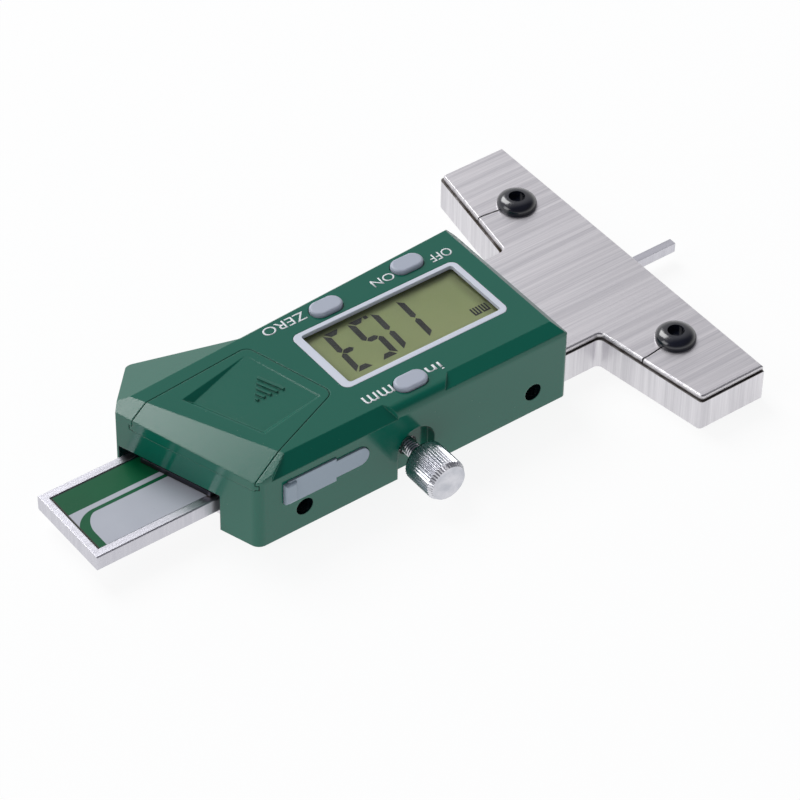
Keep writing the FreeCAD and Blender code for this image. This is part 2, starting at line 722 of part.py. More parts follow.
def build_contact_minus():
    bx, by = battery_centre
    y = (by - 4.0, by - 2.0)
    end = cavity_x[0] + 1.6
    strap = box((bx - 4, end), y, (battery_floor + 0.05, battery_floor + 0.05 + contact_thickness))
    foot = box((end - contact_thickness, end), y, (board_top + 0.02, battery_floor + 0.1))
    return strap.fuse(foot).removeSplitter()


def build_contact_plus():
    bx, by = battery_centre
    x = bx + battery_radius + 0.6
    end = cavity_x[0] + 1.6
    plate = box((x, x + contact_thickness), (by, by + 5.0), (battery_floor + 0.6, cover_underside - 0.6))
    bump = cylinder(0.45, (x, by + 1.0, strap_z + 0.7), (x, by + 4.0, strap_z + 0.7))
    strap = box((x, end), (by + 1.7, by + 3.3), (strap_z, strap_z + contact_thickness))
    foot = box((end - contact_thickness, end), (by + 1.7, by + 3.3), (board_top + 0.02, strap_z + 0.1))
    return plate.fuse([bump, strap, foot]).removeSplitter()


def build_port_contacts():
    side = -housing_half_width
    depth = side + port_cavity_depth + 1.0
    span = port_cavity_x[1] - port_cavity_x[0]
    pitch = span / port_contact_count
    z = sum(port_cavity_z) / 2
    return [box((port_cavity_x[0] + pitch * (k + 0.5) - 0.3, port_cavity_x[0] + pitch * (k + 0.5) + 0.3),
                (depth - 1.1, depth - 0.02), (z - 1.0, z + 1.0)) for k in range(port_contact_count)]


def build_housing_screws():
    solids = []
    for x, y in housing_screw_places:
        shank = cylinder(housing_screw_radius - 0.07, (x, y, sink_depth),
                         (x, y, sink_depth + housing_screw_length))
        head = cylinder(housing_screw_head_radius, (x, y, sink_depth),
                        (x, y, sink_depth + housing_screw_head_height))
        cross = box((x - 1.2, x + 1.2), (y - 0.2, y + 0.2), (-1, sink_depth + 0.7))
        cross = cross.fuse(box((x - 0.2, x + 0.2), (y - 1.2, y + 1.2), (-1, sink_depth + 0.7)))
        solids.append(head.fuse(shank).cut(cross).removeSplitter())
    return solids


def build_chip():
    half = chip_size / 2
    return box((chip_x - half, chip_x + half), (-half, half), (board_top + 0.02, board_top + chip_height))


envelope = build_envelope()
strip_base = beam_top - scale_recess_depth + 0.01
strip_top = strip_base + scale_strip_thickness
pieces = {
    "base_frame": build_base_frame(),
    "cover_plate": build_cover_plate(),
    "plate_screws": build_plate_screws(),
    "beam": build_beam(),
    "scale_strip": scale_layer(0.05, (strip_base, strip_top)),
    "scale_label": scale_layer(0.1, (strip_top + 0.005, strip_top + 0.005 + scale_label_thickness)),
    "measuring_blade": build_blade(),
    "blade_pins": build_blade_pins(),
    "gib_strip": build_gib(),
    "gib_screws": build_gib_screws(),
    "lock_screw": build_lock_screw(),
    "housing": build_housing(envelope),
    "housing_screws": build_housing_screws(),
    "battery_cover": build_cover(envelope),
    "battery_cell": cylinder(battery_radius, battery_centre + (battery_bottom,),
                             battery_centre + (battery_bottom + battery_thickness,)),
    "contact_minus": build_contact_minus(),
    "contact_plus": build_contact_plus(),
    "display_frame": build_display_frame(),
    "display_lens": build_lens(),
    "lcd_panel": build_lcd(),
    "connector_strips": build_strips(),
    "circuit_board": build_board(),
    "sensor_board": box(sensor_x, (beam_centre_y - sensor_half_width, beam_centre_y + sensor_half_width),
                        (plate_top - sensor_thickness, plate_top)),
    "controller_chip": build_chip(),
    "key_domes": [Part.makeCylinder(dome_radius, dome_height, V(x, y, board_top + 0.02))
                  for x, y in button_places.values()],
    "port_cover": build_port_cover(),
    "port_contacts": build_port_contacts(),
}
for name, place in button_places.items():
    pieces[name] = build_button(place)

os.makedirs("parts", exist_ok=True)
for name, shape in pieces.items():
    solids = shape if isinstance(shape, list) else [shape]
    whole = Part.makeCompound([s for shape in solids for s in shape.Solids])
    if len(whole.Solids) == 1:
        whole = whole.Solids[0]
    whole.exportStep("parts/" + name + ".step")
    box_ = whole.BoundBox
    print(name, len(whole.Solids), whole.isValid(), round(whole.Volume, 1),
          [round(v, 2) for v in (box_.XMin, box_.XMax, box_.YMin, box_.YMax, box_.ZMin, box_.ZMax)])
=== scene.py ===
import math
import bpy
import bmesh
from mathutils import Matrix, Vector


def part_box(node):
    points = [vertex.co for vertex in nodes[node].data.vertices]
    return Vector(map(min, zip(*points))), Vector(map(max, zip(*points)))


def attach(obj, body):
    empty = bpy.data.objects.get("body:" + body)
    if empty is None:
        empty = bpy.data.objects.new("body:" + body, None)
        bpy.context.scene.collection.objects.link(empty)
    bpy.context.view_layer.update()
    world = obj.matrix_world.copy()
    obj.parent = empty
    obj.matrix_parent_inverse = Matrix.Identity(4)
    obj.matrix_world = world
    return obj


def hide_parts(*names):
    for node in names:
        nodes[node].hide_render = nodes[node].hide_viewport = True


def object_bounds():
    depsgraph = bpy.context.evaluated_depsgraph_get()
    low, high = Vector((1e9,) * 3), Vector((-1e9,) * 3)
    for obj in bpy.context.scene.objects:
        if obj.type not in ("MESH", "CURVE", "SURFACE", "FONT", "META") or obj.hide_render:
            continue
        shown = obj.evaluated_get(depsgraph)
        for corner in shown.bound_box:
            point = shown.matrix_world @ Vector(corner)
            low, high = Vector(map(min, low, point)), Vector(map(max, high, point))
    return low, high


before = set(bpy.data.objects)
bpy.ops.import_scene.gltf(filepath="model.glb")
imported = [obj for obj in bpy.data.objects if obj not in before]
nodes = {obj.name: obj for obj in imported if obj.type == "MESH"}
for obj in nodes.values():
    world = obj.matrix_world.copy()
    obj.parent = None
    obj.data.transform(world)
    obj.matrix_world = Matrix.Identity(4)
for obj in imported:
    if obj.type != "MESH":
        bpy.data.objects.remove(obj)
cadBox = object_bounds()
mm = 0.001
print("frame loaded:", len(nodes), "nodes")


def feed(tree, made, sockets):
    for key, value in sockets.items():
        if isinstance(value, bpy.types.NodeSocket):
            tree.links.new(value, made.inputs[key])
        else:
            made.inputs[key].default_value = value
    return made


def add(tree, kind, sockets=None, **settings):
    made = tree.nodes.new("ShaderNode" + kind)
    for key, value in settings.items():
        setattr(made, key, value)
    return feed(tree, made, sockets or {})


def newGroup(name, inputs, outputs):
    group = bpy.data.node_groups.new(name, "ShaderNodeTree")
    for label, kind, value in inputs:
        socket = group.interface.new_socket(name=label, in_out="INPUT", socket_type="NodeSocket" + kind)
        socket.default_value = value
    for label, kind in outputs:
        group.interface.new_socket(name=label, in_out="OUTPUT", socket_type="NodeSocket" + kind)
    return group, group.nodes.new("NodeGroupInput").outputs, group.nodes.new("NodeGroupOutput").inputs


def useGroup(tree, group, sockets):
    made = tree.nodes.new("ShaderNodeGroup")
    made.node_tree = group
    return feed(tree, made, sockets).outputs


def calc(tree, operation, a, b=0.0):
    return add(tree, "Math", {0: a, 1: b}, operation=operation).outputs[0]


def scaled(tree, value, factor):
    return calc(tree, "MULTIPLY", value, factor)


def mixColour(tree, mask, a, b):
    return add(tree, "Mix", {0: mask, 6: a, 7: b}, data_type="RGBA").outputs[2]


def ramp(tree, value, low, high, smooth=True):
    kind = "SMOOTHSTEP" if smooth else "LINEAR"
    return add(tree, "MapRange", {0: value, 1: low, 2: high}, interpolation_type=kind).outputs[0]


def placeOf(tree):
    return add(tree, "SeparateXYZ", {0: add(tree, "TexCoord").outputs["Object"]}).outputs


def newMaterial(name, **values):
    material = bpy.data.materials.new(name)
    material.use_nodes = True
    tree = material.node_tree
    shader = tree.nodes["Principled BSDF"]
    for key, value in values.items():
        shader.inputs[key.replace("_", " ")].default_value = value
    return material, tree, shader


def rgb(red, green, blue):
    # screen colour 0-255 to a linear colour
    linear = [((c / 255 + 0.055) / 1.055) ** 2.4 if c > 10 else c / 255 / 12.92 for c in (red, green, blue)]
    return (*linear, 1.0)


def lighter(colour, gain, lift):
    return tuple(min(1.0, c * gain + lift) for c in colour[:3]) + (1.0,)


def makeGrainGroup():
    # long streaks of a grinding belt, and the fine lines between them
    group, given, out = newGroup("brushedGrain",
                                 [("Stretch", "Vector", (40.0, 2600.0, 2600.0)), ("Broad", "Float", 0.22)],
                                 [("Lines", "Float"), ("Streaks", "Float")])
    place = add(group, "TexCoord").outputs["Object"]
    fine = add(group, "VectorMath", {0: place, 1: given["Stretch"]}, operation="MULTIPLY").outputs[0]
    lines = add(group, "TexNoise",
                {"Vector": fine, "Scale": 1.0, "Detail": 4.0, "Roughness": 0.65}).outputs[0]
    broad = add(group, "VectorMath", {0: fine, "Scale": given["Broad"]}, operation="SCALE").outputs[0]
    streaks = add(group, "TexNoise", {"Vector": broad, "Scale": 1.0, "Detail": 2.0}).outputs[0]
    group.links.new(ramp(group, lines, 0.28, 0.72), out["Lines"])
    group.links.new(ramp(group, streaks, 0.3, 0.7), out["Streaks"])
    return group


def makeMouldGroup():
    # the spark texture of a mould and the slow flow marks of the plastic
    group, given, out = newGroup("mouldSkin", [("Fine", "Float", 3200.0), ("Slow", "Float", 55.0)],
                                 [("Grain", "Float"), ("Flow", "Float"), ("Dust", "Float")])
    place = add(group, "TexCoord").outputs["Object"]
    grain = add(group, "TexNoise", {"Vector": place, "Scale": given["Fine"], "Detail": 3.0}).outputs[0]
    flow = add(group, "TexNoise", {"Vector": place, "Scale": given["Slow"], "Detail": 3.0}).outputs[0]
    specks = add(group, "TexVoronoi", {"Vector": place, "Scale": 900.0}).outputs["Distance"]
    patches = add(group, "TexNoise", {"Vector": place, "Scale": 160.0, "Detail": 1.0}).outputs[0]
    dust = calc(group, "MULTIPLY", ramp(group, specks, 0.16, 0.05), ramp(group, patches, 0.55, 0.7))
    group.links.new(grain, out["Grain"])
    group.links.new(ramp(group, flow, 0.3, 0.7), out["Flow"])
    group.links.new(dust, out["Dust"])
    return group


def makeBandGroup():
    # 1 on the plane where the place along Direction is Level, falling to 0 at Width
    group, given, out = newGroup("levelBand",
                                 [("Direction", "Vector", (0.0, 0.0, 1.0)), ("Level", "Float", 0.0),
                                  ("Width", "Float", 0.001)], [("Mask", "Float")])
    place = add(group, "TexCoord").outputs["Object"]
    along = add(group, "VectorMath", {0: place, 1: given["Direction"]},
                operation="DOT_PRODUCT").outputs["Value"]
    away = calc(group, "ABSOLUTE", calc(group, "SUBTRACT", along, given["Level"]))
    share = calc(group, "DIVIDE", away, given["Width"])
    group.links.new(ramp(group, share, 1.0, 0.35), out["Mask"])
    return group


def makeBoxGroup():
    # 1 inside a box, for the shade in slots and holes
    group, given, out = newGroup("insideBox",
                                 [("Centre", "Vector", (0.0, 0.0, 0.0)), ("Half", "Vector", (1.0, 1.0, 1.0))],
                                 [("Mask", "Float")])
    place = add(group, "TexCoord").outputs["Object"]
    away = add(group, "VectorMath", {0: place, 1: given["Centre"]}, operation="SUBTRACT").outputs[0]
    away = add(group, "VectorMath", {0: away}, operation="ABSOLUTE").outputs[0]
    share = add(group, "VectorMath", {0: away, 1: given["Half"]}, operation="DIVIDE").outputs[0]
    parts = add(group, "SeparateXYZ", {0: share}).outputs
    most = calc(group, "MAXIMUM", parts[0], calc(group, "MAXIMUM", parts[1], parts[2]))
    group.links.new(ramp(group, most, 1.0, 0.99), out["Mask"])
    return group


def makeEdgeGroup():
    # rounded normal of moulded and broken edges, and a mask of the edge itself
    group, given, out = newGroup("easedEdge", [("Radius", "Float", 0.0002)],
                                 [("Normal", "Vector"), ("Edge", "Float")])
    eased = add(group, "Bevel", {"Radius": given["Radius"]}, samples=4).outputs[0]
    flat = add(group, "NewGeometry").outputs["True Normal"]
    match = add(group, "VectorMath", {0: eased, 1: flat}, operation="DOT_PRODUCT").outputs["Value"]
    group.links.new(eased, out["Normal"])
    group.links.new(ramp(group, match, 0.995, 0.9), out["Edge"])
    return group


grainGroup = makeGrainGroup()
mouldGroup = makeMouldGroup()
bandGroup = makeBandGroup()
boxGroup = makeBoxGroup()
edgeGroup = makeEdgeGroup()
print("surface effects built")


def boxMask(tree, low, high):
    centre = [(a + b) / 2 * mm for a, b in zip(low, high)]
    half = [(b - a) / 2 * mm for a, b in zip(low, high)]
    return useGroup(tree, boxGroup, {"Centre": centre, "Half": half})["Mask"]


plasticLook = {"flowShare": 0.25, "grainShare": 0.08, "dustShare": 0.2, "bump": 0.3,
               "grainDepth": 0.02 * mm, "dust": rgb(150, 155, 152), "shade": rgb(6, 10, 22)}
metalLook = {"edgeHighlight": 0.5, "grainShare": 0.12, "bump": 0.25, "grainDepth": 0.02 * mm}
topGrain = (60.0, 4200.0, 4200.0)


def plastic(name, colour, deep, roughness=0.28, edgeRadius=0.25 * mm, edgeHighlight=0.25, dust=0.04, shades=()):
    look = plasticLook
    material, tree, shader = newMaterial(name, IOR=1.5)
    skin = useGroup(tree, mouldGroup, {})
    edge = useGroup(tree, edgeGroup, {"Radius": edgeRadius})
    base = mixColour(tree, scaled(tree, skin["Flow"], look["flowShare"]), colour, deep)
    # painted highlight along the edges
    base = mixColour(tree, scaled(tree, edge["Edge"], edgeHighlight), base, lighter(colour, 1.5, 0.02))
    base = mixColour(tree, scaled(tree, skin["Dust"], dust), base, look["dust"])
    for low, high, strength in shades:
        base = mixColour(tree, scaled(tree, boxMask(tree, low, high), strength), base, look["shade"])
    tree.links.new(base, shader.inputs["Base Color"])
    # the grain swings the roughness evenly about its own value
    share = look["grainShare"]
    rough = calc(tree, "ADD", scaled(tree, skin["Grain"], share), roughness - share / 2)
    rough = calc(tree, "ADD", rough, scaled(tree, skin["Dust"], look["dustShare"]))
    tree.links.new(rough, shader.inputs["Roughness"])
    bump = add(tree, "Bump", {"Strength": look["bump"], "Distance": look["grainDepth"],
                              "Height": skin["Grain"], "Normal": edge["Normal"]})
    tree.links.new(bump.outputs[0], shader.inputs["Normal"])
    return material


def brushedMetal(name, colour, deep, roughness=0.34, stretch=(40.0, 2600.0, 2600.0), edgeRadius=0.15 * mm,
                 lineShare=0.35, bands=(), sideStretch=None, ledge=None, shades=()):
    look = metalLook
    material, tree, shader = newMaterial(name, Metallic=1.0)
    grain = useGroup(tree, grainGroup, {"Stretch": stretch})
    lines, streaks = grain["Lines"], grain["Streaks"]
    edge = useGroup(tree, edgeGroup, {"Radius": edgeRadius})
    facing = add(tree, "SeparateXYZ", {0: add(tree, "NewGeometry").outputs["True Normal"]}).outputs[2]
    if sideStretch:
        # the narrow faces are ground the other way
        side = useGroup(tree, grainGroup, {"Stretch": sideStretch})
        level = ramp(tree, calc(tree, "ABSOLUTE", facing), 0.5, 0.7)
        lines = add(tree, "Mix", {0: level, 2: side["Lines"], 3: lines}).outputs[0]
        streaks = add(tree, "Mix", {0: level, 2: side["Streaks"], 3: streaks}).outputs[0]
    base = mixColour(tree, scaled(tree, calc(tree, "ADD", lines, streaks), lineShare * 0.5), colour, deep)
    # painted highlight along the edges
    base = mixColour(tree, scaled(tree, edge["Edge"], look["edgeHighlight"]), base, lighter(colour, 1.25, 0.05))
    rough = calc(tree, "ADD", scaled(tree, lines, look["grainShare"]), roughness - look["grainShare"] / 2)
    for low, high, dark, strength in shades:
        base = mixColour(tree, scaled(tree, boxMask(tree, low, high), strength), base, dark)
    for direction, level, width, dark, strength in bands:
        mask = useGroup(tree, bandGroup, {"Direction": direction, "Level": level, "Width": width})["Mask"]
        base = mixColour(tree, scaled(tree, mask, strength), base, dark)
    if ledge:
        # oil, dust and painted shade on the narrow step under the cover plate
        height, dark, strength = ledge
        up = ramp(tree, facing, 0.8, 0.9)
        near = ramp(tree, placeOf(tree)[2], height - 0.05 * mm, height - 0.02 * mm)
        blot = useGroup(tree, mouldGroup, {"Fine": 900.0, "Slow": 350.0})
        patchy = calc(tree, "ADD", scaled(tree, blot["Flow"], 0.5), 0.5)
        mask = scaled(tree, scaled(tree, up, near), scaled(tree, patchy, strength))
        base = mixColour(tree, mask, base, dark)
        rough = calc(tree, "ADD", rough, scaled(tree, mask, 0.3))
    tree.links.new(base, shader.inputs["Base Color"])
    tree.links.new(rough, shader.inputs["Roughness"])
    bump = add(tree, "Bump", {"Strength": look["bump"], "Distance": look["grainDepth"], "Height": lines,
                              "Normal": edge["Normal"]})
    tree.links.new(bump.outputs[0], shader.inputs["Normal"])
    return material


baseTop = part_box("base_frame")[1].z
# dark brown of dirt and painted shade in the joint of the cover plate and the base
grimeAndShade = rgb(66, 58, 50)
# shaded regions in mm: the plate's tail under the housing, the slot of the beam, and the screw access holes
plateTail = ((-112, -9.7, 6.2), (-96.5, 10.9, 7.5), rgb(34, 34, 48), 0.93)
beamSlot = ((-115, -9.68, -0.05), (-88, 10.88, 8.08), 0.95)
accessLook = {"places": (-85.1, -35.6), "level": 4.7, "half": 1.82, "mouth": -17.22, "end": -12.0,
              "strength": 0.95}


def accessShade(x, look):
    low = (x - look["half"], look["mouth"], look["level"] - look["half"])
    high = (x + look["half"], look["end"], look["level"] + look["half"])
    return low, high, look["strength"]


housingShades = [beamSlot] + [accessShade(x, accessLook) for x in accessLook["places"]]

# dark line of dirt and painted shade along the top edge of the base, under the plate
groundSteel = brushedMetal("groundSteel", rgb(228, 226, 230), rgb(182, 180, 186), 0.38, topGrain,
                           lineShare=0.6, sideStretch=(2800.0, 2800.0, 50.0), ledge=(baseTop, grimeAndShade, 1.0),
                           bands=[((0, 0, 1), baseTop, 0.14 * mm, grimeAndShade, 0.5)])
# dark band of dirt and painted shade along the plate's lower edge, over the base
plateSteel = brushedMetal("plateSteel", rgb(228, 225, 228), rgb(170, 168, 174), 0.38, topGrain,
                          lineShare=0.75, shades=[plateTail],
                          bands=[((0, 0, 1), baseTop + 0.03 * mm, 0.3 * mm, grimeAndShade, 0.75)])
beamSteel = brushedMetal("beamSteel", rgb(206, 205, 212), rgb(176, 176, 186), 0.32, (70.0, 3600.0, 3600.0),
                         lineShare=0.4, sideStretch=(3000.0, 3000.0, 60.0))
screwSteel = brushedMetal("screwSteel", rgb(180, 180, 186), rgb(140, 140, 148), 0.3, (900.0, 900.0, 900.0))
cellSteel = brushedMetal("cellSteel", rgb(205, 205, 205), rgb(170, 170, 172), 0.28, (2200.0, 2200.0, 90.0))
brassContact = brushedMetal("brassContact", rgb(214, 180, 110), rgb(170, 132, 70), 0.26,
                            (700.0, 700.0, 700.0))
bronzeGib = brushedMetal("bronzeGib", rgb(196, 158, 96), rgb(150, 112, 62), 0.34)
greenShell = plastic("greenShell", rgb(4, 100, 82), rgb(2, 94, 77), 0.14, shades=housingShades, dust=0.02)
greyKey = plastic("greyKey", rgb(182, 188, 203), rgb(172, 179, 196), 0.42, 0.2 * mm, edgeHighlight=0.1)
whiteFrame = plastic("whiteFrame", rgb(226, 230, 242), rgb(216, 222, 238), 0.2, 0.2 * mm, edgeHighlight=0.2)
greyRubber = plastic("greyRubber", rgb(158, 172, 186), rgb(150, 165, 180), 0.5, 0.2 * mm, edgeHighlight=0.1)
blackResin = plastic("blackResin", rgb(24, 24, 26), rgb(16, 16, 18), 0.5, 0.1 * mm)
boardGreen = plastic("boardGreen", rgb(20, 92, 48), rgb(14, 70, 36), 0.35, 0.05 * mm)
darkPrint = plastic("darkPrint", rgb(10, 11, 10), rgb(16, 18, 14), 0.5, 0.02 * mm, dust=0.0)
whitePrint = plastic("whitePrint", rgb(238, 240, 244), rgb(226, 230, 236), 0.4, 0.02 * mm, dust=0.05)


def makeBlackSteel():
    material, tree, shader = newMaterial("blackSteel", Metallic=0.0, IOR=1.6,
                                         Coat_Weight=0.5, Coat_Roughness=0.06)
    skin = useGroup(tree, mouldGroup, {"Fine": 2000.0, "Slow": 300.0})
    base = mixColour(tree, skin["Flow"], rgb(4, 7, 20), rgb(14, 18, 34))
    base = mixColour(tree, scaled(tree, skin["Dust"], 0.3), base, rgb(110, 108, 112))
    tree.links.new(base, shader.inputs["Base Color"])
    tree.links.new(calc(tree, "ADD", scaled(tree, skin["Grain"], 0.12), 0.14), shader.inputs["Roughness"])
    bump = add(tree, "Bump", {"Strength": 0.2, "Distance": 0.02 * mm, "Height": skin["Grain"]})
    tree.links.new(bump.outputs[0], shader.inputs["Normal"])
    return material


def makeBrightSteel():
    # plated knurling: grey steel, with a painted highlight along the crests and edges
    material, tree, shader = newMaterial("brightSteel", Metallic=1.0)
    skin = useGroup(tree, mouldGroup, {"Fine": 1800.0, "Slow": 400.0})
    edge = useGroup(tree, edgeGroup, {"Radius": 0.12 * mm})
    base = mixColour(tree, skin["Flow"], rgb(214, 214, 220), rgb(190, 192, 200))
    # painted highlight on the crests and edges
    base = mixColour(tree, scaled(tree, edge["Edge"], 0.5), base, rgb(238, 238, 242))
    tree.links.new(base, shader.inputs["Base Color"])
    tree.links.new(calc(tree, "ADD", scaled(tree, skin["Grain"], 0.14), 0.14), shader.inputs["Roughness"])
    bump = add(tree, "Bump", {"Strength": 0.2, "Distance": 0.02 * mm, "Height": skin["Grain"],
                              "Normal": edge["Normal"]})
    tree.links.new(bump.outputs[0], shader.inputs["Normal"])
    return material


def makeLens():
    material, tree, shader = newMaterial("clearLens", IOR=1.22, Transmission_Weight=1.0)
    skin = useGroup(tree, mouldGroup, {"Fine": 1500.0, "Slow": 90.0})
    tree.links.new(mixColour(tree, skin["Flow"], (0.97, 0.98, 0.97, 1), (0.93, 0.95, 0.93, 1)),
                   shader.inputs["Base Color"])
    tree.links.new(scaled(tree, skin["Grain"], 0.04), shader.inputs["Roughness"])
    return material


lcdLow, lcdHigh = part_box("lcd_panel")


# how far in from each end and each side the shade starts and where it is full
panelLook = {"endStart": 3.4 * mm, "endFull": 1.0 * mm, "sideStart": 2.8 * mm, "sideFull": 0.4 * mm}


def makeLcdGlass():
    # the panel is darker near its border, where the frame shades it
    look = panelLook
    material, tree, shader = newMaterial("lcdGlass", IOR=1.45)
    skin = useGroup(tree, mouldGroup, {"Fine": 2600.0, "Slow": 70.0})
    place = placeOf(tree)
    centre, half = (lcdLow + lcdHigh) / 2, (lcdHigh - lcdLow) / 2
    acrossX = calc(tree, "ABSOLUTE", calc(tree, "SUBTRACT", place[0], centre.x))
    acrossY = calc(tree, "ABSOLUTE", calc(tree, "SUBTRACT", place[1], centre.y))
    edgeX = ramp(tree, acrossX, half.x - look["endStart"], half.x - look["endFull"])
    edgeY = ramp(tree, acrossY, half.y - look["sideStart"], half.y - look["sideFull"])
    shade = calc(tree, "MAXIMUM", edgeX, edgeY)
    base = mixColour(tree, scaled(tree, skin["Flow"], 0.35), rgb(166, 176, 118), rgb(154, 166, 108))
    base = mixColour(tree, scaled(tree, shade, 0.55), base, rgb(98, 104, 62))
    base = mixColour(tree, scaled(tree, skin["Grain"], 0.12), base, rgb(120, 130, 86))
    tree.links.new(base, shader.inputs["Base Color"])
    tree.links.new(calc(tree, "ADD", scaled(tree, skin["Grain"], 0.1), 0.4), shader.inputs["Roughness"])
    return material


labelLook = {"fieldEdge": 3.0 * mm, "lineEdge": 2.0 * mm, "stripeEdge": 1.25 * mm,
             "cornerX": -115.5 * mm, "cornerRadius": 5.0 * mm, "broad": 2.2 * mm, "softness": 0.05 * mm,
             "endLine": 0.4 * mm, "sideShadow": 0.35 * mm}


def makeScalePrint():
    # a green field, a white line, and a thin green frame line that turns down near the end
    look = labelLook
    material, tree, shader = newMaterial("scalePrint", IOR=1.3)
    x, y, _ = placeOf(tree)
    soft, radius = look["softness"], look["cornerRadius"]
    field = ramp(tree, y, look["fieldEdge"] - soft, look["fieldEdge"] + soft, smooth=False)
    alongX = calc(tree, "MINIMUM", calc(tree, "SUBTRACT", x, look["cornerX"]), 0.0)
    upY = calc(tree, "MAXIMUM", calc(tree, "SUBTRACT", y, look["lineEdge"] - radius), 0.0)
    reach = calc(tree, "SQRT", calc(tree, "ADD", scaled(tree, alongX, alongX),
                                    scaled(tree, upY, upY)))
    outer = ramp(tree, reach, radius + soft, radius - soft, smooth=False)
    thick = look["lineEdge"] - look["stripeEdge"]
    # the line grows broader as it turns down
    grown = scaled(tree, ramp(tree, alongX, 0.0, -radius), look["broad"])
    inset = calc(tree, "ADD", grown, thick)
    inner = ramp(tree, calc(tree, "ADD", reach, inset), radius - soft, radius + soft, smooth=False)
    stripe = scaled(tree, outer, inner)
    green = calc(tree, "MAXIMUM", field, stripe)
    skin = useGroup(tree, mouldGroup, {"Fine": 2400.0, "Slow": 60.0})
    paper = mixColour(tree, skin["Flow"], rgb(198, 201, 211), rgb(190, 193, 204))
    ink = mixColour(tree, skin["Flow"], rgb(0, 98, 60), rgb(0, 90, 54))
    base = mixColour(tree, green, paper, ink)
    labelLow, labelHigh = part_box("scale_label")
    # a dark brown line along the label's end, and a painted shadow of the recess wall along its far side
    for direction, level, width, dark in (((1, 0, 0), labelLow.x, look["endLine"], rgb(60, 54, 48)),
                                          ((0, 1, 0), labelHigh.y, look["sideShadow"], rgb(14, 20, 30))):
        mask = useGroup(tree, bandGroup, {"Direction": direction, "Level": level, "Width": width})["Mask"]
        base = mixColour(tree, mask, base, dark)
    tree.links.new(mixColour(tree, scaled(tree, skin["Dust"], 0.1), base, rgb(120, 120, 118)),
                   shader.inputs["Base Color"])
    tree.links.new(calc(tree, "ADD", scaled(tree, skin["Grain"], 0.1), 0.3), shader.inputs["Roughness"])
    return material


blackSteel = makeBlackSteel()
brightSteel = makeBrightSteel()
clearLens = makeLens()
lcdGlass = makeLcdGlass()
scalePrint = makeScalePrint()
print("materials built")

finishOfSlot = {
    "ground_steel": groundSteel, "beam_steel": beamSteel, "bright_steel": brightSteel,
    "black_steel": blackSteel, "screw_steel": screwSteel, "green_shell": greenShell, "grey_key": greyKey,
    "white_frame": whiteFrame, "clear_lens": clearLens, "lcd_glass": lcdGlass, "grey_rubber": greyRubber,
    "board": boardGreen, "black_resin": blackResin, "brass_contact": brassContact,
    "cell_steel": cellSteel, "scale_print": scalePrint, "bronze_gib": bronzeGib}

for nodeName, thing in nodes.items():
    for held in thing.material_slots:
        finish = finishOfSlot[held.material.name.split(".")[0]]
        held.material = plateSteel if nodeName == "cover_plate" else finish
print("CAD nodes finished")


def vertsOf(geometry):
    return [part for part in geometry if isinstance(part, bmesh.types.BMVert)]


def openEdges(bm):
    return [edge for edge in bm.edges if edge.is_boundary]


def shadeByAngle(bm, degrees):
    for face in bm.faces:
        face.smooth = True
    for edge in bm.edges:
        edge.smooth = len(edge.link_faces) == 2 and edge.calc_face_angle(0.0) < math.radians(degrees)


def finishPiece(bm, name, material, body, replaced=(), place=None):
    if place is not None:
        bmesh.ops.transform(bm, matrix=place, verts=bm.verts)
    bmesh.ops.recalc_face_normals(bm, faces=bm.faces)
    mesh = bpy.data.meshes.new(name)
    bm.to_mesh(mesh)
    bm.free()
    mesh.materials.append(material)
    piece = bpy.data.objects.new(name, mesh)
    bpy.context.scene.collection.objects.link(piece)
    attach(piece, body)
    if replaced:
        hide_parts(*replaced)


def spinProfile(bm, points, steps):
    # points are (radius, height) from the axis outwards and round, spun about Z
    verts = [bm.verts.new((radius, 0.0, height)) for radius, height in points]
    edges = [bm.edges.new(pair) for pair in zip(verts, verts[1:])]
    bmesh.ops.spin(bm, geom=verts + edges, cent=(0, 0, 0), axis=(0, 0, 1), angle=2 * math.pi, steps=steps,
                   use_merge=True)
    bmesh.ops.remove_doubles(bm, verts=bm.verts, dist=1e-7)


plateScrewLook = {"headRadius": 3.8 * mm, "headHeight": 1.87 * mm, "rim": 0.3 * mm, "socket": 2.5 * mm,
                  "socketDepth": 1.3 * mm, "socketDrop": 0.02 * mm, "socketTurn": 0.35, "crown": 0.62,
                  "shank": 1.95 * mm, "tip": 0.3 * mm, "bottom": 1.5 * mm, "steps": 48}


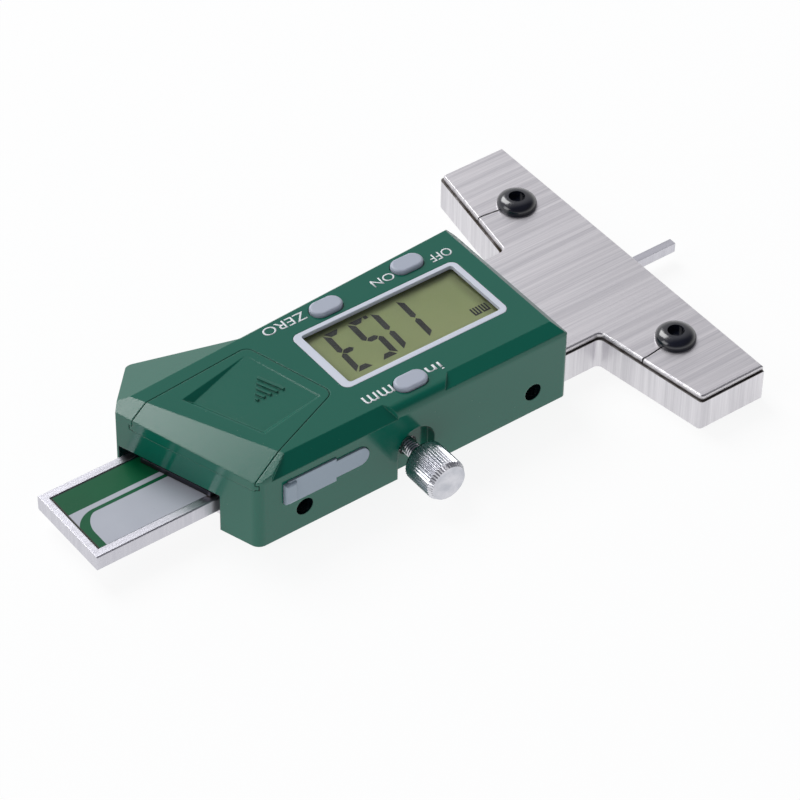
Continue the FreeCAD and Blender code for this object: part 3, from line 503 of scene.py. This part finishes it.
def buildPlateScrews(look):
    # button heads with a hex socket, standing on the cover plate
    low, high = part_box("plate_screws")
    radius, top, rim = look["headRadius"], high.z, look["rim"]
    centreX, seat = (low.x + high.x) / 2, high.z - look["headHeight"]
    crown = look["socket"] * look["crown"]
    dome = []
    for degrees in range(90, 0, -10):
        turn = math.radians(degrees)
        dome.append((crown + (radius - crown) * math.cos(turn),
                     seat + rim + (look["headHeight"] - rim) * math.sin(turn)))
    outline = dome + [(radius, seat + rim), (radius, seat), (look["shank"], seat),
                      (look["shank"], look["bottom"] + look["tip"]),
                      (look["shank"] - look["tip"], look["bottom"]), (0.0, look["bottom"])]
    bm = bmesh.new()
    for side in (low.y + radius, high.y - radius):
        part = bmesh.new()
        spinProfile(part, outline, look["steps"])
        # the socket: a hexagon ring joined to the dome's rim, then sunk
        mouth = openEdges(part)
        lifted = Matrix.Translation((0, 0, top - look["socketDrop"]))
        bmesh.ops.create_circle(part, cap_ends=False, segments=6, radius=look["socket"] / math.sqrt(3),
                                matrix=lifted @ Matrix.Rotation(look["socketTurn"], 4, "Z"))
        hexagon = [edge for edge in openEdges(part) if edge not in mouth]
        bmesh.ops.bridge_loops(part, edges=mouth + hexagon)
        sunk = bmesh.ops.extrude_edge_only(part, edges=openEdges(part))["geom"]
        bmesh.ops.translate(part, vec=(0, 0, -look["socketDepth"]), verts=vertsOf(sunk))
        bmesh.ops.edgeloop_fill(part, edges=openEdges(part))
        bmesh.ops.transform(part, matrix=Matrix.Translation((centreX, side, 0)), verts=part.verts)
        holder = bpy.data.meshes.new("holder")
        part.to_mesh(holder)
        part.free()
        bm.from_mesh(holder)
        bpy.data.meshes.remove(holder)
    shadeByAngle(bm, 38)
    finishPiece(bm, "plateScrewHeads", blackSteel, "gauge", ["plate_screws"])


buildPlateScrews(plateScrewLook)

lockScrewLook = {"teeth": 42, "toothDepth": 0.32 * mm, "headLength": 7.3 * mm, "chamfer": 0.55 * mm,
                 "dimple": 0.9 * mm, "dimpleDepth": 0.45 * mm, "neckLength": 0.6 * mm,
                 "threadPitch": 0.5 * mm, "threadDepth": 0.13 * mm, "shank": 1.48 * mm,
                 "collar": 0.5 * mm, "tip": 0.3 * mm}


def buildLockScrew(look):
    # built along Z from the outer face inwards, then laid along +Y
    low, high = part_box("lock_screw")
    radius, length = (high.x - low.x) / 2, high.y - low.y
    bm = bmesh.new()
    count = look["teeth"] * 2
    flatRadius = radius - look["chamfer"]
    bmesh.ops.create_circle(bm, cap_ends=True, segments=count, radius=flatRadius)
    bmesh.ops.inset_region(bm, faces=bm.faces[:], thickness=flatRadius - look["dimple"])
    face = next(face for face in bm.faces if len(face.verts) == count)
    bmesh.ops.inset_region(bm, faces=[face], thickness=look["dimple"] * 0.8, depth=-look["dimpleDepth"])
    headEnd, collar = look["headLength"], look["shank"] + look["collar"]
    neckEnd = headEnd + look["neckLength"]
    sections = [(radius, look["chamfer"], True), (radius, headEnd - look["chamfer"], True),
                (flatRadius, headEnd, False), (collar, headEnd, False), (collar, neckEnd, False)]
    for k in range(int((length - headEnd - look["neckLength"] - look["tip"]) / look["threadPitch"])):
        start = neckEnd + k * look["threadPitch"]
        sections += [(look["shank"] - look["threadDepth"], start + 0.1 * look["threadPitch"], False),
                     (look["shank"], start + 0.5 * look["threadPitch"], False)]
    sections += [(look["shank"] - look["tip"], length, False)]
    for ring, height, toothed in sections:
        grown = bmesh.ops.extrude_edge_only(bm, edges=openEdges(bm))["geom"]
        for vert in vertsOf(grown):
            turn = math.atan2(vert.co.y, vert.co.x)
            step = round(turn / (2 * math.pi) * count)
            depth = look["toothDepth"] if toothed and step % 2 else 0.0
            vert.co = ((ring - depth) * math.cos(turn), (ring - depth) * math.sin(turn), height)
    bmesh.ops.edgeloop_fill(bm, edges=openEdges(bm))
    shadeByAngle(bm, 20)
    foot = Vector(((low.x + high.x) / 2, low.y, (low.z + high.z) / 2))
    place = Matrix.Translation(foot) @ Matrix.Rotation(-math.pi / 2, 4, "X")
    finishPiece(bm, "lockScrewKnurled", brightSteel, "lock_screw", ["lock_screw"], place)


buildLockScrew(lockScrewLook)
print("screws built")

# the reading, in a frame whose first axis runs with the writing (-X) and second up the letters (-Y)
readingLook = {"height": 11.3 * mm, "width": 3.75 * mm, "stroke": 1.15 * mm, "gap": 0.12 * mm,
               "slant": 0.05, "bottom": 7.05 * mm,
               "ends": ((-48.35, "1"), (-54.0, "1"), (-59.0, "5"), (-64.3, "3")),
               "pointX": -54.5 * mm, "pointSize": 0.8 * mm, "thickness": 0.04 * mm}
litSegments = {"1": "bc", "3": "abgcd", "5": "afgcd"}


def segmentOutline(name, look):
    # hexagon of one segment: a top, b and c right, d bottom, e and f left, g middle
    width, height, stroke, gap = look["width"], look["height"], look["stroke"], look["gap"]
    half, mid = stroke / 2, height / 2
    if name in "adg":
        level = {"a": height - half, "d": half, "g": mid}[name]
        left, right = half + gap, width - half - gap
        if name == "g":
            return [(left, level), (left + half, level + half), (right - half, level + half),
                    (right, level), (right - half, level - half), (left + half, level - half)]
        outer = half if name == "a" else -half
        return [(left - half * 0.5, level + outer), (right + half * 0.5, level + outer),
                (right - half, level - outer), (left + half, level - outer)]
    across = width - half if name in "bc" else half
    low, high = (mid + gap, height - gap - half * 0.3) if name in "bf" else (gap + half * 0.3, mid - gap)
    outer = half if name in "bc" else -half
    if name in "bf":
        return [(across - outer, low + half), (across, low), (across + outer, low + half),
                (across + outer, high), (across - outer, high - stroke * 0.9)]
    return [(across - outer, high - half), (across, high), (across + outer, high - half),
            (across + outer, low), (across - outer, low + stroke * 0.9)]


def thicken(bm, thickness):
    grown = bmesh.ops.extrude_face_region(bm, geom=bm.faces[:])["geom"]
    bmesh.ops.translate(bm, vec=(0, 0, thickness), verts=vertsOf(grown))


def raisePlates(outlines, name, thickness):
    # dark marks just above the display panel
    bm = bmesh.new()
    for outline in outlines:
        bm.faces.new([bm.verts.new((x, y, lcdHigh.z + 0.01 * mm)) for x, y in outline])
    thicken(bm, thickness)
    finishPiece(bm, name, darkPrint, "gauge")


def rectangle(startX, startY, endX, endY):
    return [(startX, startY), (endX, startY), (endX, endY), (startX, endY)]


def buildReading(look):
    outlines = []
    for end, digit in look["ends"]:
        for name in litSegments[digit]:
            points = segmentOutline(name, look)
            outlines.append([(end * mm + look["width"] - u - look["slant"] * (v - look["height"] / 2),
                              look["bottom"] - v) for u, v in points])
    size, x = look["pointSize"], look["pointX"]
    outlines.append(rectangle(x, look["bottom"], x - size, look["bottom"] - size))
    raisePlates(outlines, "readingDigits", look["thickness"])


buildReading(readingLook)


# where each word starts and ends along X, and its foot and head along Y, in mm; the words read towards -X
wordPlaces = {"OFF": (-32.5, -37.1, 12.35, 10.3), "ON": (-44.9, -49.6, 12.75, 10.85),
              "ZERO": (-63.9, -72.9, 13.3, 11.2), "in": (-52.4, -55.5, -11.3, -13.35),
              "mm": (-62.8, -68.9, -11.1, -13.1)}
printLook = {"level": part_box("housing")[1].z + 0.002 * mm, "thickness": 0.02 * mm, "weight": 0.004 * mm}


def writeWord(word, place, look):
    start, end, foot, head = (edge * mm for edge in place)
    name = "printed" + word.capitalize()
    curve = bpy.data.curves.new(name, "FONT")
    curve.body = word
    curve.size = foot - head
    curve.offset = look["weight"]
    curve.resolution_u = 6
    holder = bpy.data.objects.new(name, curve)
    bpy.context.scene.collection.objects.link(holder)
    bpy.context.view_layer.update()
    mesh = bpy.data.meshes.new_from_object(holder)
    bpy.data.objects.remove(holder)
    bm = bmesh.new()
    bm.from_mesh(mesh)
    bpy.data.meshes.remove(mesh)
    bmesh.ops.remove_doubles(bm, verts=bm.verts, dist=1e-8)
    thicken(bm, look["thickness"])
    across, up = [v.co.x for v in bm.verts], [v.co.y for v in bm.verts]
    scaleX, scaleY = (start - end) / (max(across) - min(across)), (foot - head) / (max(up) - min(up))
    fitted = (Matrix.Translation((start, foot, look["level"])) @ Matrix.Diagonal((-scaleX, -scaleY, 1, 1))
              @ Matrix.Translation((-min(across), -min(up), 0)))
    finishPiece(bm, name, whitePrint, "gauge", (), fitted)


for word, place in wordPlaces.items():
    writeWord(word, place, printLook)

unitLook = {"start": -35.4 * mm, "pitch": 1.85 * mm, "width": 1.55 * mm, "stroke": 0.34 * mm,
            "foot": -2.4 * mm, "head": -4.4 * mm, "thickness": 0.03 * mm}


def buildReadingUnit(look):
    # two blocky letters, each a top bar over three legs
    stroke, foot, head = look["stroke"], look["foot"], look["head"]
    outlines = []
    for k in range(2):
        start = look["start"] - k * look["pitch"]
        end = start - look["width"]
        for x in (start, (start + end + stroke) / 2, end + stroke):
            outlines.append(rectangle(x, foot, x - stroke, head))
        outlines.append(rectangle(start - stroke, head + stroke, end + stroke, head))
    raisePlates(outlines, "readingUnit", look["thickness"])


buildReadingUnit(unitLook)
print("reading and words built")


floorLook = {"size": 6.0, "drop": 0.02 * mm, "matte": (0.9, 0.9, 0.9, 1), "glow": 1.03, "glowShare": 0.87}


def buildFloor(look):
    bm = bmesh.new()
    bmesh.ops.create_grid(bm, x_segments=1, y_segments=1, size=look["size"])
    mesh = bpy.data.meshes.new("floor")
    bm.to_mesh(mesh)
    bm.free()
    material = bpy.data.materials.new("paleFloor")
    material.use_nodes = True
    tree = material.node_tree
    tree.nodes.remove(tree.nodes["Principled BSDF"])
    matte = add(tree, "BsdfDiffuse", {"Color": look["matte"]}).outputs[0]
    glow = add(tree, "Emission", {"Color": (1, 1, 1, 1), "Strength": look["glow"]}).outputs[0]
    both = add(tree, "MixShader", {0: look["glowShare"], 1: matte, 2: glow}).outputs[0]
    tree.links.new(both, tree.nodes["Material Output"].inputs["Surface"])
    mesh.materials.append(material)
    floor = bpy.data.objects.new("floor", mesh)
    floor.location.z = cadBox[0].z - look["drop"]
    bpy.context.scene.collection.objects.link(floor)


# what polished faces mirror, and what lights the rest: the colour near the horizon, overhead in front
# and overhead behind, and the heights between which the horizon gives way
worldLook = {"mirrored": ((0.9, 0.9, 0.9, 1), (0.1, 0.1, 0.12, 1), (0.58, 0.58, 0.6, 1), (0.1, 0.6)),
             "plain": ((0.5, 0.52, 0.55, 1), (0.16, 0.17, 0.18, 1), (0.5, 0.51, 0.53, 1), (0.0, 0.7))}


def skyColour(tree, way, horizon, front, behind, rise):
    overhead = mixColour(tree, ramp(tree, way[1], -0.15, 0.5), front, behind)
    return mixColour(tree, ramp(tree, way[2], *rise), horizon, overhead)


def buildWorld(look):
    world = bpy.data.worlds.new("studio")
    bpy.context.scene.world = world
    world.use_nodes = True
    tree = world.node_tree
    tree.nodes.clear()
    way = add(tree, "SeparateXYZ", {0: add(tree, "TexCoord").outputs["Generated"]}).outputs
    path = add(tree, "LightPath").outputs
    mirrored, plain = (add(tree, "Background", {"Color": skyColour(tree, way, *look[key])}).outputs[0]
                       for key in ("mirrored", "plain"))
    white = add(tree, "Background", {"Color": (1, 1, 1, 1)}).outputs[0]
    glossy = calc(tree, "MAXIMUM", path["Is Glossy Ray"], path["Is Transmission Ray"])
    both = add(tree, "MixShader", {0: glossy, 1: plain, 2: mirrored}).outputs[0]
    both = add(tree, "MixShader", {0: path["Is Camera Ray"], 1: both, 2: white}).outputs[0]
    out = add(tree, "OutputWorld")
    tree.links.new(both, out.inputs["Surface"])


# heading from +Y towards +X, height above the floor, half width and half height in degrees,
# and how bright the cloth is
lampsLook = {"backSoftbox": (0.0, 46.0, 13.0, 15.6, 6.5), "sideSoftbox": (-75.0, 38.0, 14.0, 12.0, 2.5)}
lampDistance = 3.0


def buildLamps(centre):
    for name, (heading, height, halfWidth, halfHeight, brightness) in lampsLook.items():
        turn, rise = math.radians(heading), math.radians(height)
        way = Vector((math.sin(turn) * math.cos(rise), math.cos(turn) * math.cos(rise), math.sin(rise)))
        lamp = bpy.data.lights.new(name, "AREA")
        lamp.shape = "RECTANGLE"
        lamp.size = 2 * lampDistance * math.tan(math.radians(halfWidth))
        lamp.size_y = 2 * lampDistance * math.tan(math.radians(halfHeight))
        lamp.energy = brightness * math.pi * lamp.size * lamp.size_y
        holder = bpy.data.objects.new(name, lamp)
        holder.location = centre + way * lampDistance
        holder.rotation_euler = way.to_track_quat("Z", "Y").to_euler()
        bpy.context.scene.collection.objects.link(holder)


cameraLook = {"azimuth": 37.3107, "elevation": 42.4814, "roll": 1.0947, "distance": 0.672516,
              "target": (-0.052787, -0.001136, 0.0), "lens": 170.04, "sensor": 36.0,
              "near": 0.02, "far": 50.0}


def buildCamera(look):
    turn, tilt, roll = (math.radians(look[key]) for key in ("azimuth", "elevation", "roll"))
    ahead = Vector((math.sin(turn) * math.cos(tilt), math.cos(turn) * math.cos(tilt), -math.sin(tilt)))
    level = Vector((math.cos(turn), -math.sin(turn), 0.0))
    upright = level.cross(ahead)
    right = math.cos(roll) * level + math.sin(roll) * upright
    up = -math.sin(roll) * level + math.cos(roll) * upright
    camera = bpy.data.objects.new("camera", bpy.data.cameras.new("camera"))
    camera.data.lens = look["lens"]
    camera.data.sensor_width = look["sensor"]
    camera.data.clip_start, camera.data.clip_end = look["near"], look["far"]
    turned = Matrix((right, up, -ahead)).transposed().to_4x4()
    camera.matrix_world = Matrix.Translation(Vector(look["target"]) - ahead * look["distance"]) @ turned
    bpy.context.scene.collection.objects.link(camera)
    bpy.context.scene.camera = camera


buildFloor(floorLook)
buildWorld(worldLook)
buildLamps((cadBox[0] + cadBox[1]) / 2)
buildCamera(cameraLook)
bpy.context.scene.view_settings.view_transform = "Standard"
print("stage, lamps and camera set")
